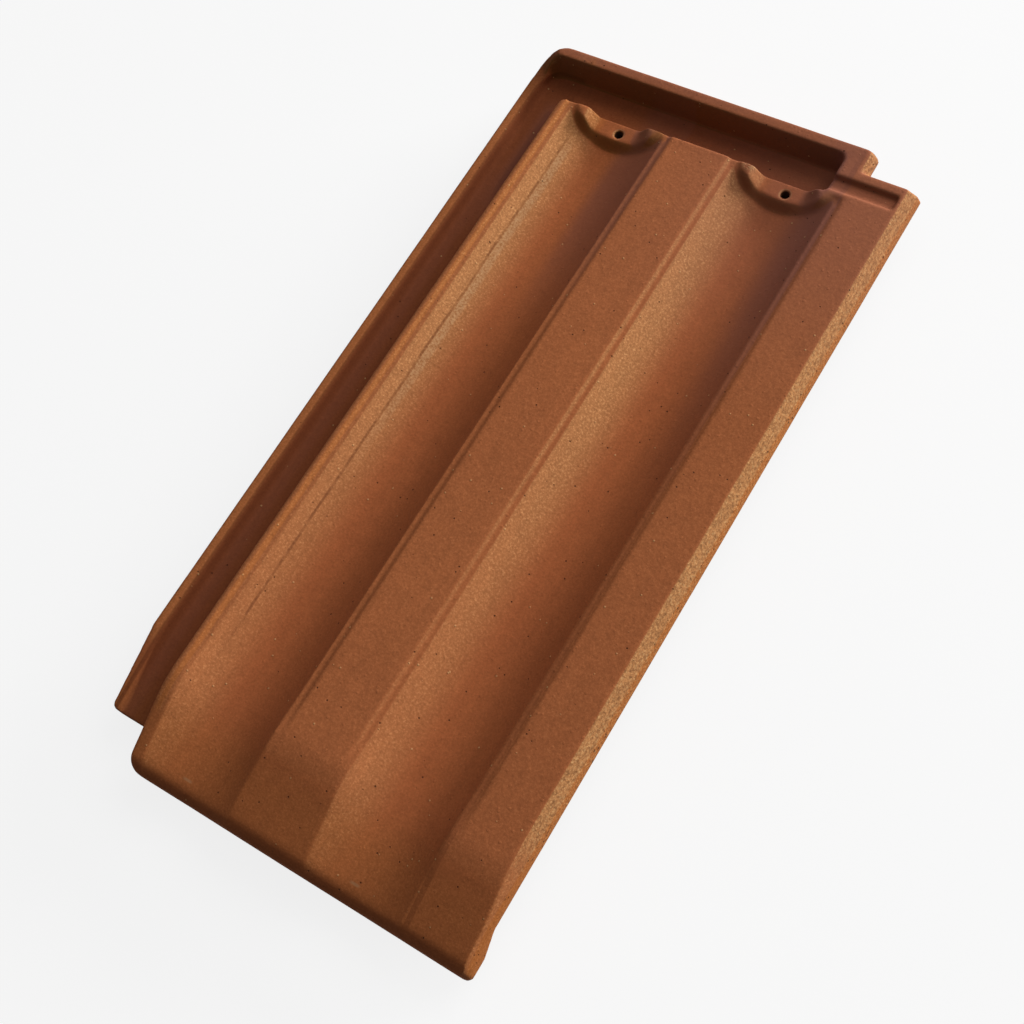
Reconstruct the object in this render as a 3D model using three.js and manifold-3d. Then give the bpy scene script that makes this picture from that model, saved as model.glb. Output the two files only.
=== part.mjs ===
// Double-trough interlocking roof tile: one piece of pressed and fired clay.
// Millimetres. X runs across the roof from the side lock to the cover lap, Y runs up the slope
// from the foot to the head, Z is the weather side. The origin is under the middle of
// the tile, level with the underside of the batten nibs.
import * as THREE from 'three';
import { mergeVertices } from 'three/addons/utils/BufferGeometryUtils.js';
import Module from 'manifold-3d';

// ---- overall sizes
const tileLength = 430;
const tileWidth = 218;
const sideLap = 29;                // the next tile's cover lap hides this much
const nibDepth = 12;               // the batten nibs hang this far below the foot edge
const wall = 10;                   // clay between the weather side and the underside

// ---- heights of the weather side above the foot edge
const crestHeight = 26;            // crown, middle rib and cover lap
const troughFloorHeight = 14;
const gutterFloorHeight = 9.5;     // side lock and head channel
const lapClearance = 0.5;          // neighbour's cover lap over the side rim

// ---- cross-section
const crownLeft = 27.2;            // left foot of the crown wall, beside the side lock
const crownDraft = 0.6;
const crownRun = 3.2;              // the crown's left edge is eased this wide and this deep
const crownFall = 1.3;
const troughCentre = 62.8;         // of the left trough
const troughPitch = (tileWidth - sideLap) / 2;
const troughHalfWidth = 27;
const shoulderWidth = 2.6;         // level shoulder between a trough and the raised face of a crest
const shoulderStep = 1.2;          // height of that raised face
const stepRun = 1.9;
const lapChamferRun = 3.8;
const lapChamferDrop = 8;
const lapChamferFootRun = 1.6;     // the chamfer narrows to this towards the foot
const lapNarrowStart = 60;
const lapNarrowEnd = 20;
const lapChamferShare = 0.55;      // and takes this much of the height there at most
const flangeWidth = 9.5;           // thick right edge that reaches down beside the next tile's rim
const flangeBottom = 9.5;
const flangeDraft = 1;
const troughSegments = 32;
const crownSegments = 3;

// ---- side lock
const rimWidth = 6.3;
const rimDraft = 1.2;
const lockFillet = 1.5;
const rimChamfer = 1;              // outer edge
const rimEaseRun = 1.7;            // inner edge, softer
const rimEaseDrop = 1.5;
const rimEaseFade = 14;            // back to the small chamfer over this length at the head
const lockFootSetback = 19.6;      // the lock stops short of the foot edge
const lockTaperStart = 62;
const lockTaperIn = 3.3;
const rimFootDrop = 6;
const lockFloorFootDrop = 4;
const lockFootRadius = 3;          // outer corner of the lock's foot
const lockHeadEnd = 412;           // the head block carries the rim on from here
const lockOverlap = 3;             // the lock runs this far into the crown

// ---- foot
const crestRampStart = 42;
const crestRampEase = 9;           // the fold is eased over this length either side of the start
const crestFootDrop = 11.3;
const troughRampStart = 55;
const troughFootDrop = 5;
const troughFootInset = 1.2;       // a trough's edge closes in by this much at the foot
const noseRun = 8;                 // the nose is a quarter ellipse, this long and this high
const noseFall = 6.5;
const noseLip = 12;
const footCornerRadius = 6.5;
const crownFootIn = 2;             // at the foot the crown closes in by this much
const crownFootRun = 2.2;          // and its edge is eased this wide and this deep
const crownFootFall = 5;
const lapFootCornerRadius = 3;
const flangeDropStart = 24;
const padFadeStart = 38;           // the raised faces fade out between these two
const padFadeEnd = 70;
const noseSegments = 6;
const footSections = 12;
const bodySections = 4;

// ---- head
const bodyHead = 399.5;            // head face of the troughs and crests
const headOverlap = 1;             // the head pieces run this far into that face
const crownHeadRadius = 6;
const channelHead = 422.8;
const channelDraft = 1.5;
const channelCornerRadius = 4;
const ribCornerRadius = 10;
const ribLean = 7.7;               // the head rib's left end leans in by this much
const leanFoot = 1.6;              // the lean starts this far below the side rim's top
const ribEdge = 3;                 // the rib's head edge is eased over this height
const ribEdgeIn = 1.1;
const rampInset = 3.3;             // the rib comes down to the side rim by a ramp that starts here
const rampSetback = 13;
const rampLength = 10.8;
const rampTurn = 40;               // degrees from the head edge
const padSetback = 40;             // the channel stops this far from the right edge, at the corner pad
const padWidth = 14.5;
const padChamferDrop = 6;
const padUndercut = 7;             // the pad's side leans in below its chamfer
const lapHead = 415;               // head edge of the cover lap beside the pad
const lapHeadLean = 7;             // its head face comes out this far at the underside
const lapCornerRadius = 1.5;
const headCornerRadius = 3;
const dripFoot = 401;              // transverse drip groove in the cover lap
const dripHead = 409.8;
const dripDepth = 3.6;
const dripLipDrop = 1.6;           // steep foot side of the groove, before its sloping floor
const dripLipRun = 1;
const dripWallRun = 0.7;
const dripSetback = 6.2;           // the groove's end, from the right edge
const cornerSegments = 6;

// ---- nail tabs
const tabHeight = 20;
const tabCrown = 0.3;              // it is this much higher at the nail hole, to shed water
const tabLeft = 10.8;              // level part, left of the trough's centre line
const tabRight = 10.5;
const tabLeftFlank = 7.6;          // run of the flank up to the crest, at the head face
const tabRightFlank = 7.3;
const tabSpread = 8;               // the right flank runs out this much further by the scoop
const scoopReach = 12.3;           // the scoop's line is half an ellipse about the head face
const scoopHalfWidth = 26.5;
const scoopOffset = 0.5;           // its middle is this far right of the trough's
const scoopRun = 5.2;              // of the rounded wall between trough floor and tab
const scoopSections = 16;
const nailHoleDiameter = 4.4;
const nailHoleSetback = 6.3;       // from the head face
const nailHoleOffset = 2.3;        // right of the trough's centre line
const countersinkDiameter = 5.4;
const countersinkDepth = 0.4;
const holeSegments = 20;

// ---- underside
const nibWidth = 36;
const nibLength = 15;
const nibSetback = 24;             // nib's foot face from the tile's head edge
const nibDraft = 2;

const wasm = await Module();
wasm.setup();

const footBottom = nibDepth;
const rimHeight = crestHeight - wall - lapClearance;
const padStart = tileWidth - padSetback;
const troughCentres = [troughCentre, troughCentre + troughPitch];

// ---------------------------------------------------------------- helpers

const lerp = THREE.MathUtils.lerp;

// 1 at the foot edge, 0 from "start" upwards, with the fold eased over "ease" either side of the start
function footBlend(y, start, ease) {
  const d = start - y;
  if (Math.abs(d) < ease) return (d + ease) ** 2 / (4 * ease * start);
  return Math.max(d, 0) / start;
}

// from 0 to 1, closest together at 0: the stations of a quarter round
function quarterSteps(count) {
  return Array.from({ length: count + 1 }, (_, i) => 1 - Math.cos((i / count) * Math.PI / 2));
}

// how far a quarter round of this radius has fallen back at distance d from its edge
function roundFall(d, radius) {
  const t = THREE.MathUtils.clamp(1 - d / radius, 0, 1);
  return radius * (1 - Math.sqrt(1 - t * t));
}

// points of a circular arc through two ends with the given sagitta, ends included
function troughArc(xLeft, xRight, zEdge, zFloor, segments) {
  const half = (xRight - xLeft) / 2;
  const depth = zEdge - zFloor;
  const radius = (half * half + depth * depth) / (2 * depth);
  const centre = (xLeft + xRight) / 2;
  const zCentre = zFloor + radius;
  const sweep = Math.asin(half / radius);
  const points = [];
  for (let i = 0; i <= segments; i++) {
    const a = lerp(-sweep, sweep, i / segments);
    points.push([centre + radius * Math.sin(a), zCentre - radius * Math.cos(a)]);
  }
  return points;
}

// closed skin over rings that all have the same number of points
function loft(rings) {
  const count = rings[0].length;
  const positions = [];
  for (const ring of rings) {
    for (const p of ring) positions.push(p.x, p.y, p.z);
  }
  const indices = [];
  for (let r = 0; r < rings.length - 1; r++) {
    for (let i = 0; i < count; i++) {
      const a = r * count + i;
      const b = r * count + (i + 1) % count;
      indices.push(a, b, b + count, a, b + count, a + count);
    }
  }
  const last = (rings.length - 1) * count;
  const frame = ringFrame(rings[0]);
  for (const [a, b, c] of capTriangles(rings[0], frame)) indices.push(a, c, b);
  for (const [a, b, c] of capTriangles(rings[rings.length - 1], frame)) {
    indices.push(last + a, last + b, last + c);
  }
  const geometry = new THREE.BufferGeometry();
  geometry.setAttribute('position', new THREE.Float32BufferAttribute(positions, 3));
  geometry.setIndex(indices);
  return geometry;
}

// in-plane axes of a planar ring that runs anticlockwise seen from the side its normal points to
function ringFrame(ring) {
  const normal = new THREE.Vector3();
  for (let i = 0; i < ring.length; i++) {
    normal.add(new THREE.Vector3().crossVectors(ring[i], ring[(i + 1) % ring.length]));
  }
  normal.normalize();
  const u = Math.abs(normal.x) > 0.9 ? new THREE.Vector3(0, 1, 0) : new THREE.Vector3(1, 0, 0);
  const v = new THREE.Vector3().crossVectors(normal, u);
  return { u, v };
}

// Triangles of a flat end. Straight runs are bowed a hair, so that the triangulator keeps their points.
function capTriangles(ring, { u, v }) {
  const bow = 1e-7;
  const flat = ring.map((p) => {
    const x = p.dot(u);
    const y = p.dot(v);
    return new THREE.Vector2(x + bow * y * y, y + bow * x * x);
  });
  return THREE.ShapeUtils.triangulateShape(flat, []);
}

function toManifold(geometry) {
  const weld = 1e-4;
  const bare = geometry.clone();
  bare.deleteAttribute('normal');
  bare.deleteAttribute('uv');
  const merged = mergeVertices(bare, weld);
  const solid = new wasm.Manifold(new wasm.Mesh({
    numProp: 3,
    vertProperties: new Float32Array(merged.attributes.position.array),
    triVerts: new Uint32Array(merged.index.array),
  }));
  return solid;
}

function toGeometry(solid) {
  const mesh = solid.getMesh();
  const geometry = new THREE.BufferGeometry();
  geometry.setAttribute('position', new THREE.BufferAttribute(new Float32Array(mesh.vertProperties), 3));
  geometry.setIndex(new THREE.BufferAttribute(new Uint32Array(mesh.triVerts), 1));
  return geometry;
}

// an XZ outline set at one station along the tile
function station(outline, y) {
  return outline.map(([x, z]) => new THREE.Vector3(x, y, z + footBottom));
}

// a plan outline set at one height above the foot edge
function level(outline, z) {
  return outline.map(([x, y]) => new THREE.Vector3(x, y, z + footBottom));
}

// quarter turns of a plan outline, from angle a to angle b in degrees
function corner(cx, cy, radius, a, b) {
  const points = [];
  for (let i = 0; i <= cornerSegments; i++) {
    const t = THREE.MathUtils.degToRad(lerp(a, b, i / cornerSegments));
    points.push([cx + radius * Math.cos(t), cy + radius * Math.sin(t)]);
  }
  return points;
}

// ---------------------------------------------------------------- nail tabs at the troughs' head

// weather side of a tab, at u right of the trough's centre line and d down from the head face
function tabTop(u, d, crest) {
  const rightRun = tabRightFlank + tabSpread * d / scoopReach;
  const left = THREE.MathUtils.smoothstep(-u, tabLeft, tabLeft + tabLeftFlank);
  const right = THREE.MathUtils.smoothstep(u, tabRight, tabRight + rightRun);
  const across = (u - nailHoleOffset) / (tabLeft + nailHoleOffset);
  const height = tabHeight + tabCrown * Math.max(1 - across ** 2, 0);
  return lerp(height, crest, left + right);
}

// 1 on the tab, 0 in the trough, and the scooped wall between them
function tabBlend(u, d) {
  const across = (u - scoopOffset) / scoopHalfWidth;
  const down = d / scoopReach;
  const reach = Math.hypot(across, down);
  if (reach < 0.5) return 1;
  const slope = Math.hypot(across / scoopHalfWidth, down / scoopReach) / reach;
  return THREE.MathUtils.smoothstep((1 - reach) / slope, -scoopRun / 2, scoopRun / 2);
}

// ---------------------------------------------------------------- the troughs, crests and cover lap

// shoulder, trough and shoulder, from left to right
function troughOutline(centre, half, crest, shoulder, floor, y) {
  const edge = half + shoulderWidth;
  const arc = troughArc(centre - half, centre + half, shoulder, floor, troughSegments);
  const points = [[centre - edge, shoulder], ...arc, [centre + edge, shoulder]];
  const d = bodyHead - y;
  return points.map(([x, z]) => {
    const u = x - centre;
    return [x, lerp(z, tabTop(u, d, crest), tabBlend(u, d))];
  });
}

function bodyOutline(y) {
  const ramp = footBlend(y, crestRampStart, crestRampEase);
  const sag = footBlend(y, troughRampStart, 0) ** 2 * troughFootDrop;
  const nose = roundFall(y, noseRun) * noseFall / noseRun;
  const pad = shoulderStep * THREE.MathUtils.smoothstep(y, padFadeStart, padFadeEnd);
  const crest = crestHeight - crestFootDrop * ramp - nose;
  const shoulder = crest - pad;
  const floor = troughFloorHeight - sag - nose;
  const half = troughHalfWidth - troughFootInset * ramp;
  const left = crownLeft + crownFootIn * ramp + roundFall(y, footCornerRadius);
  const edgeRun = lerp(crownRun, crownFootRun, ramp ** 2);
  const edgeFall = lerp(crownFall, crownFootFall, ramp ** 2);
  const right = tileWidth - roundFall(y, lapFootCornerRadius);
  const narrow = 1 - THREE.MathUtils.smoothstep(y, lapNarrowEnd, lapNarrowStart);
  const chamferRun = lerp(lapChamferRun, lapChamferFootRun, narrow);
  const chamferDrop = Math.min(lapChamferDrop, crest * lapChamferShare);
  const troughEdge = troughCentre - half;
  // the rounded foot corner squeezes the crown towards the trough
  const squeeze = (x) => THREE.MathUtils.mapLinear(x, crownLeft, troughEdge, left, troughEdge);
  const outline = [[left, 0]];
  for (const step of quarterSteps(crownSegments).reverse()) {
    const a = Math.acos(1 - step);
    const x = crownLeft + crownDraft + edgeRun * (1 - Math.sin(a));
    outline.push([squeeze(x), crest - edgeFall * step]);
  }
  outline.push([squeeze(troughEdge - shoulderWidth - stepRun), crest]);
  for (const centre of troughCentres) {
    const [first, ...others] = troughOutline(centre, half, crest, shoulder, floor, y);
    outline.push([centre === troughCentre ? squeeze(first[0]) : first[0], first[1]], ...others);
    outline.push([centre + half + shoulderWidth + stepRun, crest]);
    if (centre === troughCentre) outline.push([centre + troughPitch - half - shoulderWidth - stepRun, crest]);
  }
  outline.push([right - chamferRun, crest]);
  outline.push([right, crest - chamferDrop]);
  outline.push(...underside(y, crest + nose, floor + nose, left, right));
  return outline;
}

// from the cover lap back to the crown; the hollow under the middle crown is closed by a wall at the head
function underside(y, crest, floor, left, right) {
  const lip = THREE.MathUtils.clamp((y - noseLip) / (flangeDropStart - noseLip), 0, 1);
  const lift = (z) => lerp(0, Math.max(z, 0), lip);
  const inHeadWall = (x) => y > bodyHead - wall && x > troughCentres[0] && x < troughCentres[1];
  const vault = crest - wall;
  const points = [[right, lift(flangeBottom)], [right - flangeWidth, lift(flangeBottom)]];
  points.push([right - flangeWidth - flangeDraft, lift(vault)]);
  for (const centre of [...troughCentres].reverse()) {
    const half = troughHalfWidth + wall / 2;
    const arc = troughArc(centre - half, centre + half, vault, floor - wall, troughSegments / 2).reverse();
    const kept = centre === troughCentre ? arc.slice(0, troughSegments / 4 + 1) : arc;
    points.push(...kept.map(([x, z]) => [x, inHeadWall(x) ? 0 : lift(z)]));
  }
  points.push([left + wall, lift(floor - wall)]);
  points.push([left + wall / 2, 0]);
  return points;
}

function makeBody() {
  const scoopStart = bodyHead - scoopReach - scoopRun;
  const stations = quarterSteps(noseSegments).map((step) => noseRun * step);
  stations.push(noseLip);
  const fill = (from, to, count) => {
    for (let i = 0; i < count; i++) stations.push(lerp(from, to, i / count));
  };
  fill(flangeDropStart, padFadeEnd, footSections);
  fill(padFadeEnd, scoopStart, bodySections);
  fill(scoopStart, bodyHead, scoopSections);
  stations.push(bodyHead);
  const rings = stations.map((y) => station(bodyOutline(y), y));
  return toManifold(loft(rings));
}

// ---------------------------------------------------------------- side lock

function lockOutline(y) {
  const t = THREE.MathUtils.clamp((lockTaperStart - y) / (lockTaperStart - lockFootSetback), 0, 1);
  const outer = lockTaperIn * t;
  const rim = rimHeight - rimFootDrop * t;
  const floor = gutterFloorHeight - lockFloorFootDrop * t;
  const inner = outer + rimWidth;
  const left = outer + roundFall(y - lockFootSetback, lockFootRadius);
  const ease = THREE.MathUtils.clamp((lockHeadEnd - y) / rimEaseFade, 0, 1);
  const easeRun = lerp(rimChamfer, rimEaseRun, ease);
  const easeDrop = lerp(rimChamfer, rimEaseDrop, ease);
  return [
    [left, 0],
    [left, rim - rimChamfer],
    [left + rimChamfer, rim],
    [inner - easeRun, rim],
    [inner - easeRun / 3, rim - easeDrop / 3],
    [inner, rim - easeDrop],
    [inner + rimDraft, floor + lockFillet],
    [inner + rimDraft + lockFillet, floor],
    [crownLeft + lockOverlap, floor],
    [crownLeft + lockOverlap, 0],
  ];
}

function makeLock() {
  const rounding = quarterSteps(cornerSegments).map((step) => lockFootSetback + step * lockFootRadius);
  const stations = [...rounding, lockTaperStart, lockHeadEnd - rimEaseFade, lockHeadEnd];
  return toManifold(loft(stations.map((y) => station(lockOutline(y), y))));
}

// ---------------------------------------------------------------- head channel, rib and corner pad

function headOutline(lean, chamfer, headIn) {
  const foot = bodyHead - wall;
  const head = tileLength - headIn;
  const right = padStart + padWidth - chamfer;
  return [
    [lean, foot],
    [right, foot],
    ...corner(right - headCornerRadius, head - headCornerRadius, headCornerRadius, 0, 90),
    ...corner(lean + ribCornerRadius, head - ribCornerRadius, ribCornerRadius, 90, 180),
  ];
}

function channelOutline(spread) {
  const left = rimWidth + rimDraft - spread;
  const right = padStart - channelDraft + spread;
  const head = channelHead - channelDraft + spread;
  const r = channelCornerRadius;
  return [
    [left, bodyHead - 2 * headOverlap],
    [right, bodyHead - 2 * headOverlap],
    ...corner(right - r, head - r, r, 0, 90),
    ...corner(left + 2 * r, head - 2 * r, 2 * r, 90, 180),
  ];
}

function makeHead() {
  const above = crestHeight + wall;
  const chamferFoot = crestHeight - padChamferDrop;
  const leanStart = rimHeight - leanFoot;
  const ring = (z) => {
    const lean = ribLean * Math.max(z - leanStart, 0) / (crestHeight - leanStart);
    const chamfer = lapChamferRun * Math.max(z - chamferFoot, 0) / padChamferDrop;
    const undercut = padUndercut * Math.max(chamferFoot - z, 0) / chamferFoot;
    const headIn = ribEdgeIn * Math.max(z - crestHeight + ribEdge, 0) / ribEdge;
    return level(headOutline(lean, chamfer + undercut, headIn), z);
  };
  const heights = [0, leanStart, chamferFoot, crestHeight - ribEdge, crestHeight];
  const block = toManifold(loft(heights.map(ring)));
  const channel = toManifold(loft([
    level(channelOutline(0), gutterFloorHeight),
    level(channelOutline(channelDraft), crestHeight),
    level(channelOutline(channelDraft), above),
  ]));
  const besideBody = box([-wall, 0, gutterFloorHeight], [tileWidth, bodyHead - headOverlap, above]);
  const overRim = box([-wall, 0, gutterFloorHeight], [rimWidth + rimDraft, lockHeadEnd, above]);
  return block.subtract(channel).subtract(besideBody).subtract(overRim).subtract(makeCornerRamp());
}

// what is cut off the rib's left end, so that it comes down to the side rim
function makeCornerRamp() {
  const reach = 2 * rampLength;
  const height = crestHeight;
  const geometry = new THREE.BoxGeometry(2 * reach, 2 * reach, height);
  geometry.translate(0, 0, height / 2);
  geometry.rotateY(-Math.atan2(crestHeight - rimHeight, rampLength));
  geometry.rotateZ(THREE.MathUtils.degToRad(rampTurn));
  geometry.translate(rampInset, tileLength - rampSetback, rimHeight + footBottom);
  const aboveRim = box([-reach, 0, rimHeight], [padStart, tileLength + reach, crestHeight + height]);
  return toManifold(geometry).intersect(aboveRim);
}

// ---------------------------------------------------------------- cover lap past the body's head face

// section at one station; "lean" tips it, so that its underside is further up the slope
function lapRing(y, cornerFall, lean) {
  const right = tileWidth - cornerFall;
  const inner = padStart + headOverlap;
  const outline = [
    [inner, crestHeight - wall],
    [inner, crestHeight],
    [right - lapChamferRun, crestHeight],
    [right, crestHeight - lapChamferDrop],
    [right, flangeBottom],
    [tileWidth - flangeWidth, flangeBottom],
    [tileWidth - flangeWidth - flangeDraft, crestHeight - wall],
  ];
  const slope = lean / (crestHeight - flangeBottom);
  return outline.map(([x, z]) => new THREE.Vector3(x, y + slope * (crestHeight - z), z + footBottom));
}

function makeLapHead() {
  const rings = [lapRing(bodyHead - headOverlap, 0, 0)];
  for (const step of quarterSteps(cornerSegments)) {
    const a = Math.acos(1 - step);
    rings.push(lapRing(lapHead - lapCornerRadius * (1 - Math.sin(a)), lapCornerRadius * step, lapHeadLean));
  }
  return toManifold(loft(rings));
}

function makeDripGroove() {
  const section = [
    [dripFoot, crestHeight],
    [dripFoot + dripLipRun, crestHeight - dripLipDrop],
    [dripHead - dripWallRun, crestHeight - dripDepth],
    [dripHead, crestHeight],
    [dripHead, crestHeight + wall],
    [dripFoot, crestHeight + wall],
  ];
  const ring = (x) => section.map(([y, z]) => new THREE.Vector3(x, y, z + footBottom));
  return toManifold(loft([ring(padStart - channelDraft), ring(tileWidth - dripSetback)]));
}

// ---------------------------------------------------------------- nail holes

function makeNailHole(centre) {
  const x = centre + nailHoleOffset;
  const y = bodyHead - nailHoleSetback;
  const radius = nailHoleDiameter / 2;
  const top = footBottom + tabTop(nailHoleOffset, nailHoleSetback, crestHeight) + 0.1 * tabCrown;
  const depth = tabHeight + wall;
  const shaft = new THREE.CylinderGeometry(radius, radius, depth, holeSegments);
  shaft.rotateX(Math.PI / 2);
  shaft.translate(x, y, top - depth / 2 + wall / 2);
  const sink = new THREE.CylinderGeometry(countersinkDiameter / 2, radius, countersinkDepth, holeSegments);
  sink.rotateX(Math.PI / 2);
  sink.translate(x, y, top - countersinkDepth / 2);
  return toManifold(shaft).add(toManifold(sink));
}

// ---------------------------------------------------------------- batten nibs

function makeNib(centre) {
  const foot = tileLength - nibSetback;
  const outline = (draft) => [
    [centre - nibWidth / 2 + draft, foot],
    [centre + nibWidth / 2 - draft, foot],
    [centre + nibWidth / 2 - draft, foot + nibLength - draft],
    [centre - nibWidth / 2 + draft, foot + nibLength - draft],
  ];
  return toManifold(loft([level(outline(nibDraft), -nibDepth), level(outline(0), wall / 2)]));
}

function box(low, high) {
  const size = high.map((value, i) => value - low[i]);
  const geometry = new THREE.BoxGeometry(...size);
  geometry.translate(low[0] + size[0] / 2, low[1] + size[1] / 2, low[2] + size[2] / 2 + footBottom);
  return toManifold(geometry);
}

function makeCrownCorner() {
  const shape = new THREE.Shape();
  const left = crownLeft - wall;
  const centreX = crownLeft + crownHeadRadius;
  const centreY = bodyHead - crownHeadRadius;
  shape.moveTo(left, bodyHead + headOverlap);
  shape.lineTo(left, centreY);
  shape.lineTo(crownLeft, centreY);
  shape.absarc(centreX, centreY, crownHeadRadius, Math.PI, Math.PI / 2, true);
  shape.lineTo(centreX, bodyHead + headOverlap);
  const options = { depth: crestHeight, bevelEnabled: false, curveSegments: cornerSegments };
  const geometry = new THREE.ExtrudeGeometry(shape, options);
  geometry.translate(0, 0, gutterFloorHeight + footBottom);
  return toManifold(geometry);
}

// ---------------------------------------------------------------- the whole tile

let solid = makeBody();
solid = solid.subtract(makeCrownCorner());
solid = solid.add(makeLock()).add(makeHead()).add(makeLapHead()).subtract(makeDripGroove());
for (const centre of troughCentres) solid = solid.add(makeNib(centre)).subtract(makeNailHole(centre));

const clay = new THREE.MeshStandardMaterial({ color: 0x9c5f3c, roughness: 0.85, metalness: 0 });
const tile = new THREE.Mesh(toGeometry(solid), clay);
tile.name = 'roof_tile';
tile.position.set(-tileWidth / 2, -tileLength / 2, 0);
const group = new THREE.Group();
group.add(tile);

export default group;
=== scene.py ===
import math

import bmesh
import bpy
from mathutils import Matrix, Vector


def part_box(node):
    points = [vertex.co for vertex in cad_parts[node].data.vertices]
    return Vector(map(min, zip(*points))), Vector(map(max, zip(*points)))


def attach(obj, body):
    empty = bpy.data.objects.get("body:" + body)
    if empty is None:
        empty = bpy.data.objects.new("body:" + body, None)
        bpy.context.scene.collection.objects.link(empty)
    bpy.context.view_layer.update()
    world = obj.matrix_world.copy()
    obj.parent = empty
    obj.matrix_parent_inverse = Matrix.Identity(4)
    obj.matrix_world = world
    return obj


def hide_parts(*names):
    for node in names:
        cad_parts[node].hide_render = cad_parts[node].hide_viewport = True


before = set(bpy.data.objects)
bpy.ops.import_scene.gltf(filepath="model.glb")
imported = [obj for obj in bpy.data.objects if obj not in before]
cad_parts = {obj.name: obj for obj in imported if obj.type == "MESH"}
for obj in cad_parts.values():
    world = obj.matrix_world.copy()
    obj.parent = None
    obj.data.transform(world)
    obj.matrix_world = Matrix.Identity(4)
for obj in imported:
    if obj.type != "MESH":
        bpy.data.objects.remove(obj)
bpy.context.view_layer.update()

bl_info = {
    "name": "Clay roof tile",
    "version": (1, 0, 0),
    "blender": (4, 5, 0),
    "location": "View3D > Sidebar > Roof tile",
    "description": "A pressed clay interlocking roof tile with its fired surface",
    "category": "Object",
}

MM = 0.001
TILE = "roof_tile"
SEED = 7.0

# ---------------------------------------------------------------- where the finishes lie

# Places in this section are in millimetres from the tile's middle: x to the right, y up the slope
# and z up from the floor.
(LEFT, FOOT, _), (RIGHT, HEAD, _) = ([number / MM for number in corner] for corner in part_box(TILE))

# Pairs of lines that run up the slope: where the left one lies, and how far it is to the right one.
TROUGH_LINES = (-46.2, 94.5)
# where the painted highlights on the nose lie
NOSE_HIGHLIGHT_LINES = (-49.5, 95.0)

HOLE_FROM_TROUGH = 2.3
HOLE_Y = HEAD - 36.8
CRUMBS_PLACE = (28.6, HEAD - 31.2, 36.0)
# the side lock comes down this far over this stretch of the foot
LOCK_DROP = 6.0
LOCK_DROP_STRETCH = (FOOT + 62, FOOT + 20)
# how far the die line strays
LINE_WANDER = 1.2

EVEN = (1, 1, 1)
# Noises: size in millimetres, detail, roughness, and stretch along x, y and z.
NOISES = {
    "cloud": (60, 2, 0.4, EVEN),          # slow drift between the two body colours
    "drag": (3, 3, 0.55, (1, 0.06, 1)),   # streaks up the slope, where the mould slid off
    "blotch": (7, 3, 0.55, EVEN),         # soft patches in the skin
    "peel": (2.4, 2, 0.5, EVEN),          # shallow dimples of the pressed skin
    "sand": (1.1, 3, 0.7, EVEN),          # grains of parting sand
    "grit": (1.7, 3, 0.8, EVEN),          # coarser grains on the outer edge
    "wander": (40, 2, 0.5, (0, 1, 0)),    # the die line's straying, the same at every x and z
}
# Cells that hold one speck each: their size, and the shift of their pattern, in millimetres.
SPECK_CELLS = (3.8, 8.9)
GRAIN_CELLS = (2.2, 21.3)
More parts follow.
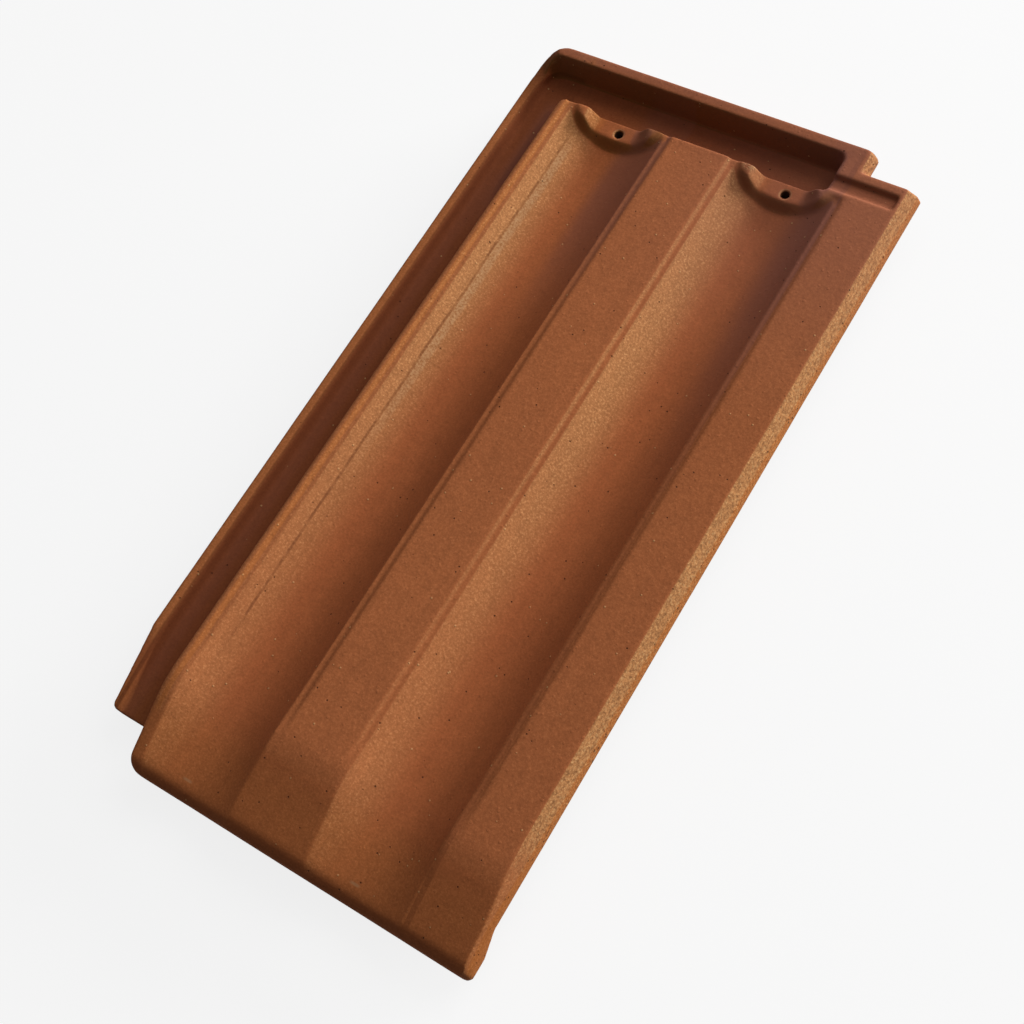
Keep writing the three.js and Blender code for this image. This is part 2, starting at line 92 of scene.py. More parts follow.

# Zones with soft edges. Each pair of marks on a reading runs from where the zone is out to where it is
# full, and within names masks that the zone keeps to. Besides x, y and z, the readings are the noises and
#   right, head, up   how far a face turns that way, from -1 to 1
#   lock_z            height, as if the side lock didn't come down at the foot
#   trough_x, highlight_x   how far to the right of the nearer trough line or nose highlight line
#   line_x            x, with the die line's wander added
#   from_...          distance from the nearest hole, speck or grain, or from the crumbs
#   kind              a number from 0 to 1 that each speck has of its own
ZONES = {
    # specks: an eighth are grog, a fifth are burnt out and the others are pimples
    "grog": {"from_speck": (0.6, 0.33), "kind": (0.13, 0.129)},
    "burnt_out": {"from_speck": (0.5, 0.275), "kind": (0.8, 0.801)},
    "pimples": {"from_speck": (0.8, 0.44), "kind": (0.13, 0.14, 0.8, 0.79)},
    "crumbled": {"within": ("bare_edge",), "from_speck": (1.0, 0.55), "blotch": (0.5, 0.58)},
    "grains": {"within": ("outer",), "from_grain": (0.75, 0.41)},
    "crust": {"within": ("sand_and_lit_flank",), "sand": (0.52, 0.7)},
    "coarse": {"grit": (0.32, 0.64)},
    # faces and edges along the whole tile
    # painted light: faces turned right, towards the lamps, take the paler, yellower sand colour
    "lit_flank": {"within": ("sand_thickness",), "right": (0.08, 0.55), "x": (LEFT + 25, LEFT + 28)},
    "towards_head": {"y": (-150, 90)},
    # painted shade on faces turned left, away from the lamps
    "facing_left": {"right": (-0.05, -0.5)},
    # painted shade on faces turned towards the foot, away from the lamps
    "facing_foot": {"head": (-0.3, -0.65), "y": (100, 0)},
    # the same painted shade in the half nearer the head
    "facing_foot_above": {"head": (-0.3, -0.65), "y": (0, 100)},
    "foot": {"y": (FOOT + 50, FOOT + 20)},
    "crest": {"z": (35.5, 37)},
    "left_bank": {"x": (-86.5, -85, -72, -74), "z": (33, 35)},
    "left_shoulder": {"x": (-78.4, -77.6, -75, -75.8), "z": (33, 35)},
    "right_shoulder": {"x": (75, 75.6, 78.6, 77.6)},
    "right_wall": {"y": (-20, 150), "x": (52, 70, 79, 77)},
    "middle_wall": {"y": (50, 150), "x": (-46, -36, -14, -16)},
    # painted shade on the trough walls turned left, away from the lamps, darker and greyer towards the head
    "wall": {"within": ("either_wall",), "right": (0.1, -0.15)},
    "wall_head": {"within": ("wall",), "y": (40, 150)},
    # the outer edge
    "cover_lap": {"x": (RIGHT - 47, RIGHT - 25)},
    "chamfer": {"x": (RIGHT - 6, RIGHT - 4.5), "y": (FOOT + 25, FOOT + 75)},
    "pad_edge": {"y": (HEAD - 15, HEAD - 11), "z": (31, 33)},
    # faces turned right on the outer edge, where the sand colour is painted light as on the flanks
    "outer": {"within": ("lap_or_pad",), "right": (0.3, 0.6)},
    "bare_edge": {"x": (RIGHT - 1.6, RIGHT - 0.8), "z": (31.5, 29.5)},
    # the side lock
    "side_lock": {"x": (LEFT + 29, LEFT + 25), "lock_z": (26.6, 25)},
    "lock_corner": {"within": ("side_lock",), "x": (LEFT + 10.5, LEFT + 8.5)},
    # painted shade in the side lock towards the head, beside the crown's wall
    "lock_head": {
        "within": ("side_lock",), "x": (LEFT + 11, LEFT + 18), "y": (90, 140, HEAD - 20, HEAD - 35)},
    # painted light: the lock's floor beside the rim takes a greyer tint where it catches the sky
    "lock_floor": {"x": (LEFT + 7, LEFT + 10, LEFT + 17, LEFT + 12), "z": (25, 23), "y": (160, 120)},
    "rim": {"x": (LEFT + 9, LEFT + 7), "z": (26, 27)},
    "rim_edge": {"x": (LEFT + 4.4, LEFT + 5.4, LEFT + 7.5, LEFT + 6.5)},
    # the head, with its channel and its nail tabs
    "by_tabs": {"y": (HEAD - 43, HEAD - 38, HEAD - 29.5, HEAD - 30.5)},
    "left_of_tabs": {"within": ("by_tabs",), "trough_x": (-19, -14, -6, -10)},
    # painted shade at the right end of each tab's scoop
    "right_of_tabs": {"within": ("by_tabs",), "trough_x": (10, 15, 29, 25)},
    "head_end": {"y": (HEAD - 40, HEAD - 31, HEAD - 29.5, HEAD - 30.5), "x": (40, 10)},
    # painted shadow of the head rib on the channel's floor
    "channel": {
        "x": (85, 25), "y": (HEAD - 31, HEAD - 29, HEAD - 39, HEAD - 11), "z": (37.6, 35), "up": (0.3, 0.7)},
    "head_rib": {"within": ("tint_reach",), "y": (HEAD - 15, HEAD - 7)},
    "rib_top": {"within": ("tint_reach",), "y": (HEAD - 10, HEAD - 3)},
    # greyer towards the head's right, partly painted cool light
    "head_right": {"within": ("tint_reach",), "y": (40, HEAD - 15), "x": (-50, 70)},
    # the die line and its strip, the painted highlights on the nose, the crumbs, and the nail holes with
    # painted shade and a painted highlight
    "groove": {"line_x": (-67.6, -67.0, -66.0, -66.6), "y": (FOOT + 50, FOOT + 95, HEAD - 43, HEAD - 55)},
    "pale_blotch": {"blotch": (0.4, 0.55)},
    "line": {"within": ("groove", "unbroken")},
    "strip": {
        "line_x": (-66.5, -65.8, -61.8, -63.8), "y": (-60, 40, HEAD - 43, HEAD - 65), "sand": (0.35, 0.6)},
    # painted highlights on the nose's fold in each trough
    "nose_highlights": {
        "highlight_x": (-3.2, -1.2, 3.2, 1.2), "y": (FOOT + 8.5, FOOT + 9.3, FOOT + 10.5, FOOT + 9.7),
        "z": (14, 18)},
    "crumbs": {"from_crumbs": (5, 2), "sand": (0.4, 0.55)},
    # painted shade inside the nail holes
    "hole": {"from_hole": (2.7, 2.2), "z": (31.9, 31.2)},
    # painted highlight: a pale ring round each nail hole
    "hole_highlight": {"from_hole": (3.5, 3.1, 2.7, 3.0), "z": (31, 31.5)},
    # the sand's own relief, where it lies
    "grain": {"within": ("sand", "sand_depth")},
}

# Masks that are the strongest of others, each held to its share.
STRONGEST = {
    "lap_or_pad": {"chamfer": 1.0, "pad_edge": 1.0},
    "either_wall": {"right_wall": 1.0, "middle_wall": 1.0},
    # sand where it lies, and painted light on the faces turned right
    "sand_and_lit_flank": {"lit_flank": 1.0, "crest": 0.10, "left_bank": 0.20, "foot": 0.08, "rim": 0.15, "outer": 0.80},
    "bare": {"bare_edge": 0.80, "rim": 0.20, "left_shoulder": 0.45, "left_of_tabs": 0.40, "foot": 0.24},
    "pits": {"burnt_out": 1.0, "crumbled": 1.0},
    # darker tone, partly painted shade: in the lock's head by the crown, in the head channel, on faces turned
    # left or footwards;
    # and on the cover lap, which was stacked and smoked in the kiln
    # plainly darker on the rest of the side lock, the rim's inner edge, the right shoulders, the rib and the
    # head end,
    "smoke_and_shade": {
        "side_lock": 0.58, "lock_corner": 0.60, "lock_head": 0.85, "rim_edge": 0.55, "cover_lap": 0.12,
        "right_shoulder": 0.38, "head_rib": 0.27, "head_end": 0.15, "channel": 0.60,
        "facing_left": 0.20, "facing_foot": 0.60,
    },
    # painted shade, olive: faces turned towards the foot near the head, and the tabs' right ends
    "head_shade": {"facing_foot_above": 0.60, "right_of_tabs": 0.50},
    # greyer towards the head, strongest on its right-hand side, where it is partly painted cool light;
    # greyer on the rib's top, and painted shade in the lock's head and on the trough walls turned left
    "haze_and_painted_light": {"head_haze_and_wall_shade": 1.0, "lock_head": 0.35, "rib_top": 0.40},
}

# Masks that are the sum of others, each times its weight.
SUMS = {
    "sand_thickness": {"everywhere": 0.30, "towards_head": 0.35},
    "sand_depth": {"everywhere": 0.40, "sand_and_lit_flank": 1.0},
    "graininess": {"everywhere": 0.40, "sand_and_lit_flank": 0.45, "outer": -0.20},
    # the darker and greyer tints at the head show less on the outer edge
    "tint_reach": {"everywhere": 1.0, "outer": -0.60},
    "unbroken": {"everywhere": 0.40, "pale_blotch": 0.60},
    "head_haze_and_wall_shade": {"head_right": 0.45, "wall": 0.50},
    # how far the skin stands out, in millimetres
    "relief": {
        "peel": 0.14, "grain": 0.10, "grog": 0.25, "pimples": 0.07, "burnt_out": -0.35, "groove": -0.12,
        "crumbs": 0.25,
    },
}

# ---------------------------------------------------------------- sizes of the mesh and the stage

MERGE_DISTANCE = 0.001 * MM
# the fewest faces that the finished skin must keep, or it counts as empty
FEWEST_FACES = 1000
WARP_DEPTH = 0.25 * MM
WARP_WIDTH = 45 * MM

FLOOR_REACH = 3.0
# the share of the floor that glows for the camera, which leaves the shadow on it faint
FLOOR_GLOW = 0.82
PAPER_SEEN = "#FFFFFF"
PAPER_UNSEEN = "#B8B8B8"
# Lamps: the setting of the level, azimuth and elevation in degrees, and width and height in metres.
LAMPS = {
    "low_window": ("window_level", 62, 12, 2.0, 0.9),
    "sky_window": ("sky_level", 60, 45, 2.0, 1.6),
    "ceiling": ("ceiling_level", 0, 85, 2.4, 2.4),
}
LAMP_DISTANCE = 3.0
EYE = Vector((290.6, -219.6, 664.5)) * MM
AIM = Vector((13.34, -24.29, 20.0)) * MM
ROLL = math.radians(25.67)
LENS = 54.635
SENSOR = 36


# ---------------------------------------------------------------- helpers

def linear(hex_colour):
    """sRGB hex colour to linear red, green, blue and alpha."""
    value = hex_colour.lstrip("#")
    parts = [int(value[i:i + 2], 16) / 255 for i in (0, 2, 4)]
    return tuple(c / 12.92 if c <= 0.04045 else ((c + 0.055) / 1.055) ** 2.4 for c in parts) + (1.0,)


def add(tree, kind, inputs=None, **settings):
    """Adds a node and returns it. An input is a value, or the output of another node."""
    node = tree.nodes.new(kind)
    for name, value in settings.items():
        setattr(node, name, value)
    for key, value in (inputs or {}).items():
        if isinstance(value, bpy.types.NodeSocket):
            tree.links.new(value, node.inputs[key])
        else:
            node.inputs[key].default_value = value
    return node


def combined(tree, operation, *numbers):
    """Takes a row of numbers together, such as their product."""
    result = numbers[0]
    for number in numbers[1:]:
        result = add(tree, "ShaderNodeMath", {0: result, 1: number}, operation=operation).outputs[0]
    return result


def band(tree, number, start, end):
    """0 before start, 1 after end, soft between; falls instead where end is less than start."""
    rising = end > start
    limits = {"Value": number, "From Min": min(start, end), "From Max": max(start, end),
              "To Min": 0.0 if rising else 1.0, "To Max": 1.0 if rising else 0.0}
    return add(tree, "ShaderNodeMapRange", limits, interpolation_type="SMOOTHSTEP").outputs[0]


def new_material(name):
    """Adds a material with an empty node tree."""
    material = bpy.data.materials.new(name)
    material.use_nodes = True
    material.node_tree.nodes.clear()
    return material


def new_object(name, mesh):
    made = bpy.data.objects.new(name, mesh)
    bpy.context.scene.collection.objects.link(made)
    return made


def applied(piece):
    """Turns the object's modifiers into its plain mesh."""
    evaluated = piece.evaluated_get(bpy.context.evaluated_depsgraph_get())
    mesh = bpy.data.meshes.new_from_object(evaluated)
    piece.modifiers.clear()
    old = piece.data
    piece.data = mesh
    bpy.data.meshes.remove(old)


# ---------------------------------------------------------------- settings

class RoofTileSettings(bpy.types.PropertyGroup):
    """Sizes and colours of the fired tile"""
    clay_light: bpy.props.StringProperty(
        name="Light clay", description="Body colour where the kiln left it pale", default="#B2663C")
    clay_dark: bpy.props.StringProperty(
        name="Dark clay", description="Body colour where the kiln reddened it", default="#A75D37")
    sand_and_light_colour: bpy.props.StringProperty(
        name="Sand and painted light", description="Colour of the parting sand, also painted light on faces turned right", default="#B78352")
    grog_colour: bpy.props.StringProperty(
        name="Grog", description="Colour of the pale grains in the body", default="#E6B980")
    pit_and_hole_shade_colour: bpy.props.StringProperty(
        name="Pits and hole shade", description="Colour of the burnt-out specks and of the painted shade in the nail holes", default="#3B2014")
    sand_strip_and_highlight_colour: bpy.props.StringProperty(
        name="Die line sand and highlights", description="Colour of the greyer sand beside the die line, and of painted highlights", default="#B8926A")
    edge_colour: bpy.props.StringProperty(
        name="Bare edge", description="Orange of the scraped outer edge", default="#BC6F34")
    smoke_and_shade_colour: bpy.props.StringProperty(
        name="Kiln smoke and painted shade", description="Darker tone on the lock, head and foot, partly painted shade", default="#5A2A18")
    head_shade_colour: bpy.props.StringProperty(
        name="Head shade", description="Olive dark on what looks down the slope near the head", default="#5C4018")
    haze_and_painted_light_colour: bpy.props.StringProperty(
        name="Haze and painted light", description="Greyish tint at the head and in the side lock, partly painted light and shade", default="#905B4C")
    mesh_step: bpy.props.FloatProperty(
        name="Mesh step", description="Grid step of the skin", default=0.8 * MM, min=0.4 * MM, unit="LENGTH")
    rounding: bpy.props.IntProperty(
        name="Rounding", description="Passes that soften the pressed edges", default=5, min=0, max=30)
    triangles: bpy.props.IntProperty(
        name="Triangles", description="Most triangles that the finished skin keeps", default=195000)
    warp_depth: bpy.props.FloatProperty(
        name="Warp", description="How far the fired faces dip", default=WARP_DEPTH, unit="LENGTH")
    window_level: bpy.props.FloatProperty(
        name="Window light", description="Level of the low soft lamp", default=1.18, min=0.0)
    sky_level: bpy.props.FloatProperty(
        name="Sky light", description="Level of the higher soft lamp", default=0.36, min=0.0)
    ceiling_level: bpy.props.FloatProperty(
        name="Ceiling light", description="Level of the lamp overhead", default=0.12, min=0.0)
    room_level: bpy.props.FloatProperty(
        name="Room light", description="Level of the light from all round", default=0.09, min=0.0)


# ---------------------------------------------------------------- fired clay

class ClayPainter:
    """Reads where each point of the tile lies, masks the finishes by it and lays them over one another."""

    def __init__(self, material, settings):
        self.tree = material.node_tree
        self.settings = settings
        self.colour = linear(settings.clay_dark)
        coords = add(self.tree, "ShaderNodeTexCoord").outputs
        to_mm = {0: coords["Object"], 1: (1 / MM,) * 3}
        self.place = add(self.tree, "ShaderNodeVectorMath", to_mm, operation="MULTIPLY").outputs[0]
        place = add(self.tree, "ShaderNodeSeparateXYZ", {0: self.place}).outputs
        facing = add(self.tree, "ShaderNodeSeparateXYZ", {0: coords["Normal"]}).outputs
        noises = {name: self.noise(*values) for name, values in NOISES.items()}
        self.readings = dict(zip(("x", "y", "z", "right", "head", "up"), (*place, *facing)), **noises)
        self.masks = dict(noises, everywhere=1.0)
        self.read_specks()
        self.read_lines()
        self.read_spots()

    def product(self, *numbers):
        return combined(self.tree, "MULTIPLY", *numbers)

    def total(self, *numbers):
        return combined(self.tree, "ADD", *numbers)

    def moved(self, shift, stretch=EVEN):
        """The place of each point, for a pattern that is shifted and stretched."""
        inputs = {"Vector": self.place, "Location": shift, "Scale": stretch}
        return add(self.tree, "ShaderNodeMapping", inputs).outputs[0]

    def noise(self, size, detail, roughness, stretch):
        """Noise with patches of about that size."""
        inputs = {"Vector": self.moved((SEED * size, 0, 0), stretch), "Scale": 1 / size,
                  "Detail": detail, "Roughness": roughness}
        return add(self.tree, "ShaderNodeTexNoise", inputs).outputs["Fac"]

    def cells(self, size, shift):
        """Cells of about that size, with the distance from the speck in each and a colour of its own."""
        inputs = {"Vector": self.moved((shift,) * 3), "Scale": 1 / size, "Randomness": 1.0}
        found = add(self.tree, "ShaderNodeTexVoronoi", inputs).outputs
        return self.product(found["Distance"], size), found["Color"]

    def read_specks(self):
        """Distances from the nearest speck and grain, and the speck's own number."""
        self.readings["from_speck"], own_colour = self.cells(*SPECK_CELLS)
        self.readings["kind"] = add(self.tree, "ShaderNodeSeparateColor", {0: own_colour}).outputs["Red"]
        self.readings["from_grain"], _ = self.cells(*GRAIN_CELLS)

    def read_lines(self):
        """Distances from the lines that run up the slope, and the height in the side lock."""
        x, y, z = (self.readings[axis] for axis in "xyz")
        self.readings["trough_x"] = self.from_nearer(x, *TROUGH_LINES)
        self.readings["highlight_x"] = self.from_nearer(x, *NOSE_HIGHLIGHT_LINES)
        self.readings["line_x"] = self.total(x, self.product(self.readings["wander"], LINE_WANDER))
        drop = self.product(band(self.tree, y, *LOCK_DROP_STRETCH), LOCK_DROP)
        self.readings["lock_z"] = self.total(z, drop)

    def from_nearer(self, x, left, pitch):
        """How far to the right of the nearer of two lines, a pitch apart, a point lies."""
        inputs = {0: self.total(x, -left), 1: pitch / 2, 2: -pitch / 2}
        return add(self.tree, "ShaderNodeMath", inputs, operation="WRAP").outputs[0]

    def read_spots(self):
        """Distances from the nearer nail hole's axis and from the crumbs."""
        across = self.total(self.readings["trough_x"], -HOLE_FROM_TROUGH)
        along = self.total(self.readings["y"], -HOLE_Y)
        off_axis = add(self.tree, "ShaderNodeCombineXYZ", {0: across, 1: along}).outputs[0]
        for spot, inputs in (("from_hole", {0: off_axis}), ("from_crumbs", {0: self.place, 1: CRUMBS_PLACE})):
            found = add(self.tree, "ShaderNodeVectorMath", inputs, operation="DISTANCE")
            self.readings[spot] = found.outputs["Value"]

    def zone(self, within=(), **spans):
        """A zone with soft edges: 1 where every reading is at its full marks, 0 where one is out."""
        parts = [self.mask(name) for name in within]
        for reading, marks in spans.items():
            for start, end in zip(marks[::2], marks[1::2]):
                parts.append(band(self.tree, self.readings[reading], start, end))
        return self.product(*parts)

    def weighted(self, weights):
        """Several masks, each times its weight."""
        return [self.product(self.mask(name), weight) for name, weight in weights.items()]

    def mask(self, name):
        """The mask of that name, made when it is first asked for."""
        if name not in self.masks:
            if name in SUMS:
                self.masks[name] = self.total(*self.weighted(SUMS[name]))
            elif name in STRONGEST:
                self.masks[name] = combined(self.tree, "MAXIMUM", *self.weighted(STRONGEST[name]))
            else:
                self.masks[name] = self.zone(**ZONES[name])
        return self.masks[name]

    def lay(self, mask, share, over, mode="MIX"):
        """Lays a colour or a pattern over what is there."""
        inputs = {0: self.product(self.mask(mask), share), 6: self.colour, 7: over}
        self.colour = add(self.tree, "ShaderNodeMix", inputs, data_type="RGBA", blend_type=mode).outputs[2]

    def tint(self, mask, share, colour):
        """Lays one of the settings' colours over the clay."""
        self.lay(mask, share, linear(getattr(self.settings, colour)))

    def mottle(self, mask, share, pattern):
        """Lightens and darkens the clay by a pattern."""
        self.lay(mask, share, self.mask(pattern), "OVERLAY")


def lay_body(clay):
    """The body's two reds, parting sand, painted light in the sand colour on faces turned right, and orange
    where the skin is scraped off.
    """
    clay.tint("cloud", 1.0, "clay_light")
    # sand, and painted light on the faces turned right
    clay.tint("sand_and_lit_flank", 1.0, "sand_and_light_colour")
    clay.tint("bare", 1.0, "edge_colour")
    clay.mottle("everywhere", 0.10, "drag")
    clay.mottle("everywhere", 0.12, "blotch")
    clay.mottle("graininess", 1.0, "sand")
    clay.tint("crust", 0.5, "grog_colour")
    clay.mottle("outer", 0.32, "coarse")
    clay.tint("grains", 0.3, "grog_colour")


def lay_kiln_marks_and_shade(clay):
    """Darker tone partly painted as shade, olive painted shade near the head, a greyer tint there, painted
    sky light in the lock.
    """
    # darker tone, partly painted shade
    clay.tint("smoke_and_shade", 1.0, "smoke_and_shade_colour")
    # olive painted shade near the head
    clay.tint("head_shade", 1.0, "head_shade_colour")
    # greyer tint at the head, partly painted cool light, with painted shade in the lock and on walls turned
    # left
    clay.tint("haze_and_painted_light", 1.0, "haze_and_painted_light_colour")
    # painted shade on the walls turned left, towards the head
    clay.tint("wall_head", 0.15, "smoke_and_shade_colour")
    # painted sky light on the lock floor
    clay.tint("lock_floor", 0.15, "haze_and_painted_light_colour")


def lay_press_marks_and_highlights(clay):
    """The joint line of the mould with a strip of sand beside it, painted highlights on the nose and stuck
    crumbs.
    """
    clay.tint("strip", 0.6, "sand_strip_and_highlight_colour")
    clay.tint("line", 0.5, "smoke_and_shade_colour")
    # painted highlights on the nose
    clay.tint("nose_highlights", 0.45, "sand_strip_and_highlight_colour")
    clay.tint("crumbs", 0.55, "sand_strip_and_highlight_colour")


def lay_specks(clay):
    """Pale grog, dark pits, and the nail holes, whose insides are painted shade, inside a pale ring that is a
    painted highlight.
    """
    clay.tint("grog", 0.4, "grog_colour")
    clay.tint("pits", 0.8, "pit_and_hole_shade_colour")
    # painted shade inside the nail holes
    clay.tint("hole", 0.9, "pit_and_hole_shade_colour")
    # painted highlight round the nail holes
    clay.tint("hole_highlight", 0.3, "sand_strip_and_highlight_colour")


def fired_clay(settings):
    """Unglazed red-brown clay, pressed in a mould with parting sand and fired.

    The eye sees a dry, matt skin with a faint grain of sand, pale grog grains, burnt-out pits, painted light
    in a paler sand colour on faces turned right, painted shade in hollows and on faces turned away, and a
    greyer tint at the head.
    """
    material = new_material("fired_clay")
    clay = ClayPainter(material, settings)
    for lay_layer in (lay_body, lay_kiln_marks_and_shade, lay_press_marks_and_highlights, lay_specks):
        lay_layer(clay)
    # the relief's height is in millimetres
    bump = {"Height": clay.mask("relief"), "Strength": 1.0, "Distance": MM}
    normal = add(clay.tree, "ShaderNodeBump", bump).outputs[0]
    shader = add(clay.tree, "ShaderNodeBsdfPrincipled", {
        "Base Color": clay.colour, "Roughness": 0.85, "Specular IOR Level": 0.1, "Normal": normal})
    add(clay.tree, "ShaderNodeOutputMaterial", {0: shader.outputs[0]})
    return material


# ---------------------------------------------------------------- the tile

def relief_tree(material):
    """Geometry Nodes tree that sinks the fired faces a little, as drying and firing leave them."""
    tree = bpy.data.node_groups.new("Fired relief", "GeometryNodeTree")
    sockets = tree.interface
    sockets.new_socket("Geometry", in_out="INPUT", socket_type="NodeSocketGeometry")
    for name, default in (("Warp depth", WARP_DEPTH), ("Warp width", WARP_WIDTH), ("Seed", SEED)):
        socket = sockets.new_socket(name, in_out="INPUT", socket_type="NodeSocketFloat")
        socket.default_value = default
    sockets.new_socket("Geometry", in_out="OUTPUT", socket_type="NodeSocketGeometry")
    start = add(tree, "NodeGroupInput").outputs
    where = add(tree, "GeometryNodeInputPosition").outputs[0]
    shifted = add(tree, "ShaderNodeVectorMath", {0: where, 1: start["Seed"]}, operation="ADD").outputs[0]
    scale = combined(tree, "DIVIDE", 1.0, start["Warp width"])
    warp = add(tree, "ShaderNodeTexNoise", {"Vector": shifted, "Scale": scale, "Detail": 2.0}).outputs[0]
    dip = combined(tree, "MULTIPLY", warp, -1.0, start["Warp depth"])
    normal = add(tree, "GeometryNodeInputNormal").outputs[0]
    offset = add(tree, "ShaderNodeVectorMath", {0: normal, "Scale": dip}, operation="SCALE").outputs[0]
    sunk = add(tree, "GeometryNodeSetPosition", {"Geometry": start["Geometry"], "Offset": offset}).outputs[0]
    real = add(tree, "GeometryNodeRealizeInstances", {0: sunk}).outputs[0]
    clay = add(tree, "GeometryNodeSetMaterial", {"Geometry": real, "Material": material}).outputs[0]
    add(tree, "NodeGroupOutput", {0: clay})
    return tree


def set_inputs(modifier, values):
    """Sets a Geometry Nodes modifier's inputs by their names' identifiers."""
    for item in modifier.node_group.interface.items_tree:
        if item.in_out == "INPUT" and item.name in values:
            modifier[item.identifier] = values[item.name]


def merged_copy(mesh):
    """A copy of a mesh of loose triangles, with the triangles joined at their corners."""
    copy = mesh.copy()
    copy.materials.clear()
    shape = bmesh.new()
    shape.from_mesh(copy)
    bmesh.ops.remove_doubles(shape, verts=shape.verts, dist=MERGE_DISTANCE)
    shape.to_mesh(copy)
    shape.free()
    return copy


class ROOFTILE_OT_tile(bpy.types.Operator):
    """Makes the pressed and fired tile with soft edges"""
    bl_idname = "rooftile.tile"
    bl_label = "Fired tile"

    def execute(self, context):
        settings = context.scene.roof_tile
        piece = new_object("fired_tile", merged_copy(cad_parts[TILE].data))
        skin = piece.modifiers.new("Skin", "REMESH")
        skin.mode = "VOXEL"
        skin.voxel_size = settings.mesh_step * 1
        skin.use_smooth_shade = True
        edges = piece.modifiers.new("Rounding", "SMOOTH")
        edges.factor = 0.5
        edges.iterations = settings.rounding
        relief = piece.modifiers.new("Relief", "NODES")
        relief.node_group = relief_tree(fired_clay(settings))
        set_inputs(relief, {"Warp depth": settings.warp_depth})
        applied(piece)
        self.thin_out(piece, settings.triangles)
        piece.data.shade_smooth()
        if len(piece.data.polygons) < FEWEST_FACES:
            raise RuntimeError("the tile's skin is empty")
        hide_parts(TILE)
        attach(piece, "root")
        return {"FINISHED"}

    def thin_out(self, piece, most):
        """Brings the mesh down to the most triangles that it may keep."""
        dense = sum(len(face.vertices) - 2 for face in piece.data.polygons)
        if dense > most:
            thin = piece.modifiers.new("Thin out", "DECIMATE")
            thin.ratio = most / dense
            applied(piece)


# ---------------------------------------------------------------- the stage

def seen_rays(tree):
    """1 for the rays that show a surface to the camera, 0 for those that light the tile."""
    path = add(tree, "ShaderNodeLightPath").outputs
    kinds = [path[f"Is {kind} Ray"] for kind in ("Camera", "Glossy", "Transmission")]
    return combined(tree, "MAXIMUM", *kinds)


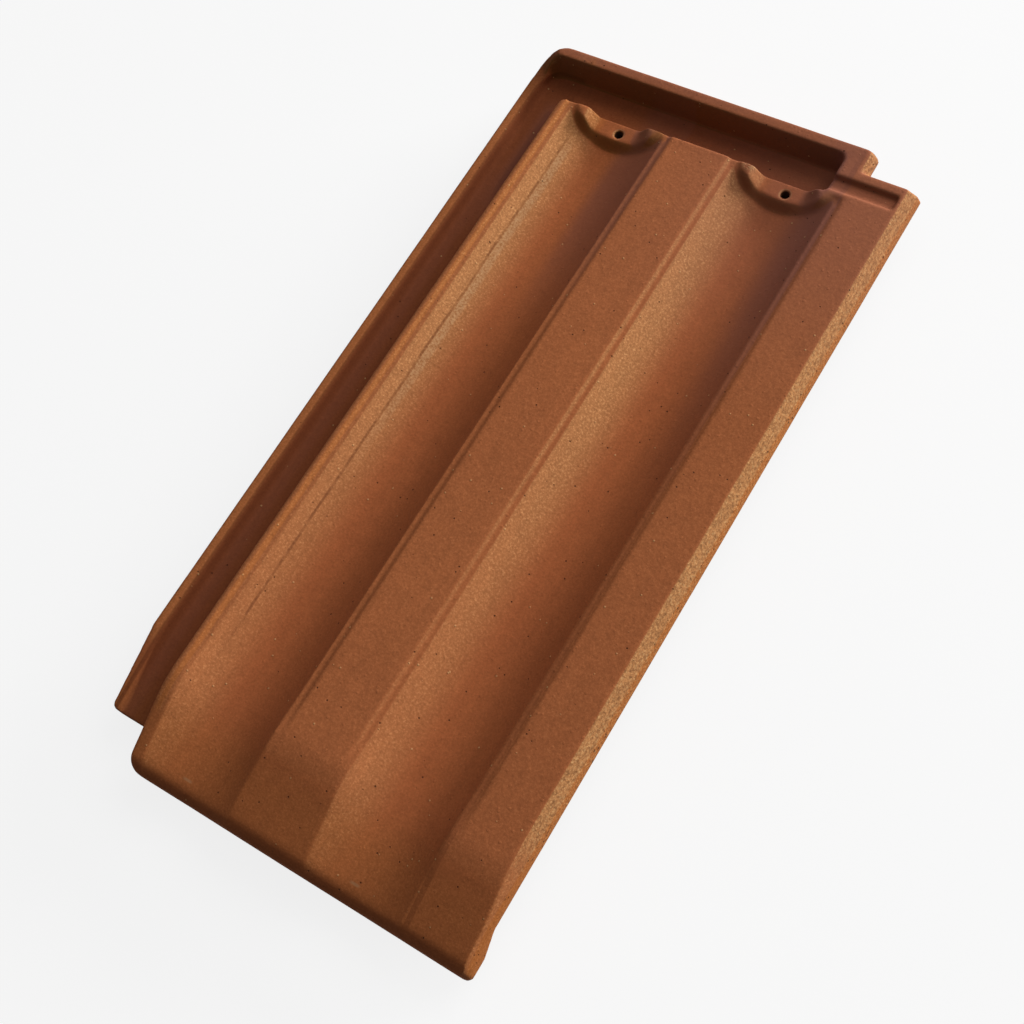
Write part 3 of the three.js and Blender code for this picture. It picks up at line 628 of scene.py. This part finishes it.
class ROOFTILE_OT_stage(bpy.types.Operator):
    """Lays a white floor, the soft lamps and the camera"""
    bl_idname = "rooftile.stage"
    bl_label = "Floor, light and camera"

    def execute(self, context):
        scene = context.scene
        settings = scene.roof_tile
        self.lay_floor()
        self.light_world(scene, settings.room_level)
        for name, (level, azimuth, elevation, width, height) in LAMPS.items():
            self.hang_lamp(scene, name, azimuth, elevation, (width, height), getattr(settings, level))
        self.set_camera(scene)
        scene.view_settings.view_transform = "Standard"
        return {"FINISHED"}

    def lay_floor(self):
        reach = FLOOR_REACH
        mesh = bpy.data.meshes.new("floor")
        corners = [(-reach, -reach, 0), (reach, -reach, 0), (reach, reach, 0), (-reach, reach, 0)]
        mesh.from_pydata(corners, [], [(0, 1, 2, 3)])
        floor = new_object("floor", mesh)
        material = new_material("white_paper")
        tree = material.node_tree
        # the camera sees white paper with a faint shadow; the tile gets light from greyer paper
        seen = seen_rays(tree)
        shades = {0: seen, 6: linear(PAPER_UNSEEN), 7: linear(PAPER_SEEN)}
        shade = add(tree, "ShaderNodeMix", shades, data_type="RGBA").outputs[2]
        paper = add(tree, "ShaderNodeBsdfDiffuse", {"Color": shade}).outputs[0]
        glow = add(tree, "ShaderNodeEmission", {"Strength": 1.0}).outputs[0]
        lift = combined(tree, "MULTIPLY", seen, FLOOR_GLOW)
        mixed = add(tree, "ShaderNodeMixShader", {0: lift, 1: paper, 2: glow}).outputs[0]
        add(tree, "ShaderNodeOutputMaterial", {0: mixed})
        mesh.materials.append(material)

    def light_world(self, scene, level):
        """The room shows white, and lights the tile at its level."""
        world = bpy.data.worlds.new("white_room")
        scene.world = world
        world.use_nodes = True
        tree = world.node_tree
        tree.nodes.clear()
        strength = add(tree, "ShaderNodeMix", {0: seen_rays(tree), 2: level, 3: 1.0}).outputs[0]
        room = add(tree, "ShaderNodeBackground", {"Color": (1, 1, 1, 1), "Strength": strength}).outputs[0]
        add(tree, "ShaderNodeOutputWorld", {0: room})

    def hang_lamp(self, scene, name, azimuth, elevation, size, level):
        """Level 1 lights a white sheet that faces the lamp to full white."""
        lamp = bpy.data.lights.new(name, "AREA")
        lamp.shape = "RECTANGLE"
        lamp.size, lamp.size_y = size
        lamp.energy = level * (math.pi * LAMP_DISTANCE) ** 2
        hung = bpy.data.objects.new(name, lamp)
        scene.collection.objects.link(hung)
        turn, rise = math.radians(azimuth), math.radians(elevation)
        level_part = math.cos(rise)
        towards = Vector((level_part * math.cos(turn), level_part * math.sin(turn), math.sin(rise)))
        hung.location = towards * LAMP_DISTANCE
        hung.rotation_euler = towards.to_track_quat("Z", "Y").to_euler()

    def set_camera(self, scene):
        """The camera looks from the eye to the aim, rolled about that line."""
        camera = bpy.data.cameras.new("camera")
        camera.sensor_width = SENSOR
        camera.lens = LENS
        held = bpy.data.objects.new("camera", camera)
        scene.collection.objects.link(held)
        back = (EYE - AIM).normalized()
        across = Vector((0, 0, 1)).cross(back).normalized()
        up = back.cross(across)
        turned_across = across * math.cos(ROLL) - up * math.sin(ROLL)
        turned_up = up * math.cos(ROLL) + across * math.sin(ROLL)
        matrix = Matrix((turned_across, turned_up, back)).transposed().to_4x4()
        matrix.translation = EYE
        held.matrix_world = matrix
        scene.camera = held


class ROOFTILE_PT_panel(bpy.types.Panel):
    """Lists the tile's steps and its settings"""
    bl_idname = "ROOFTILE_PT_panel"
    bl_label = "Roof tile"
    bl_space_type = "VIEW_3D"
    bl_region_type = "UI"
    bl_category = "Roof tile"

    def draw(self, context):
        for name in RoofTileSettings.__annotations__:
            self.layout.prop(context.scene.roof_tile, name)
        for kind in OPERATORS:
            self.layout.operator(kind.bl_idname)


OPERATORS = (ROOFTILE_OT_tile, ROOFTILE_OT_stage)
CLASSES = (RoofTileSettings, *OPERATORS, ROOFTILE_PT_panel)


def register():
    for kind in CLASSES:
        bpy.utils.register_class(kind)
    bpy.types.Scene.roof_tile = bpy.props.PointerProperty(type=RoofTileSettings)


def unregister():
    del bpy.types.Scene.roof_tile
    for kind in reversed(CLASSES):
        bpy.utils.unregister_class(kind)


def main():
    register()
    bpy.ops.rooftile.tile()
    bpy.ops.rooftile.stage()


if __name__ == "__main__":
    main()
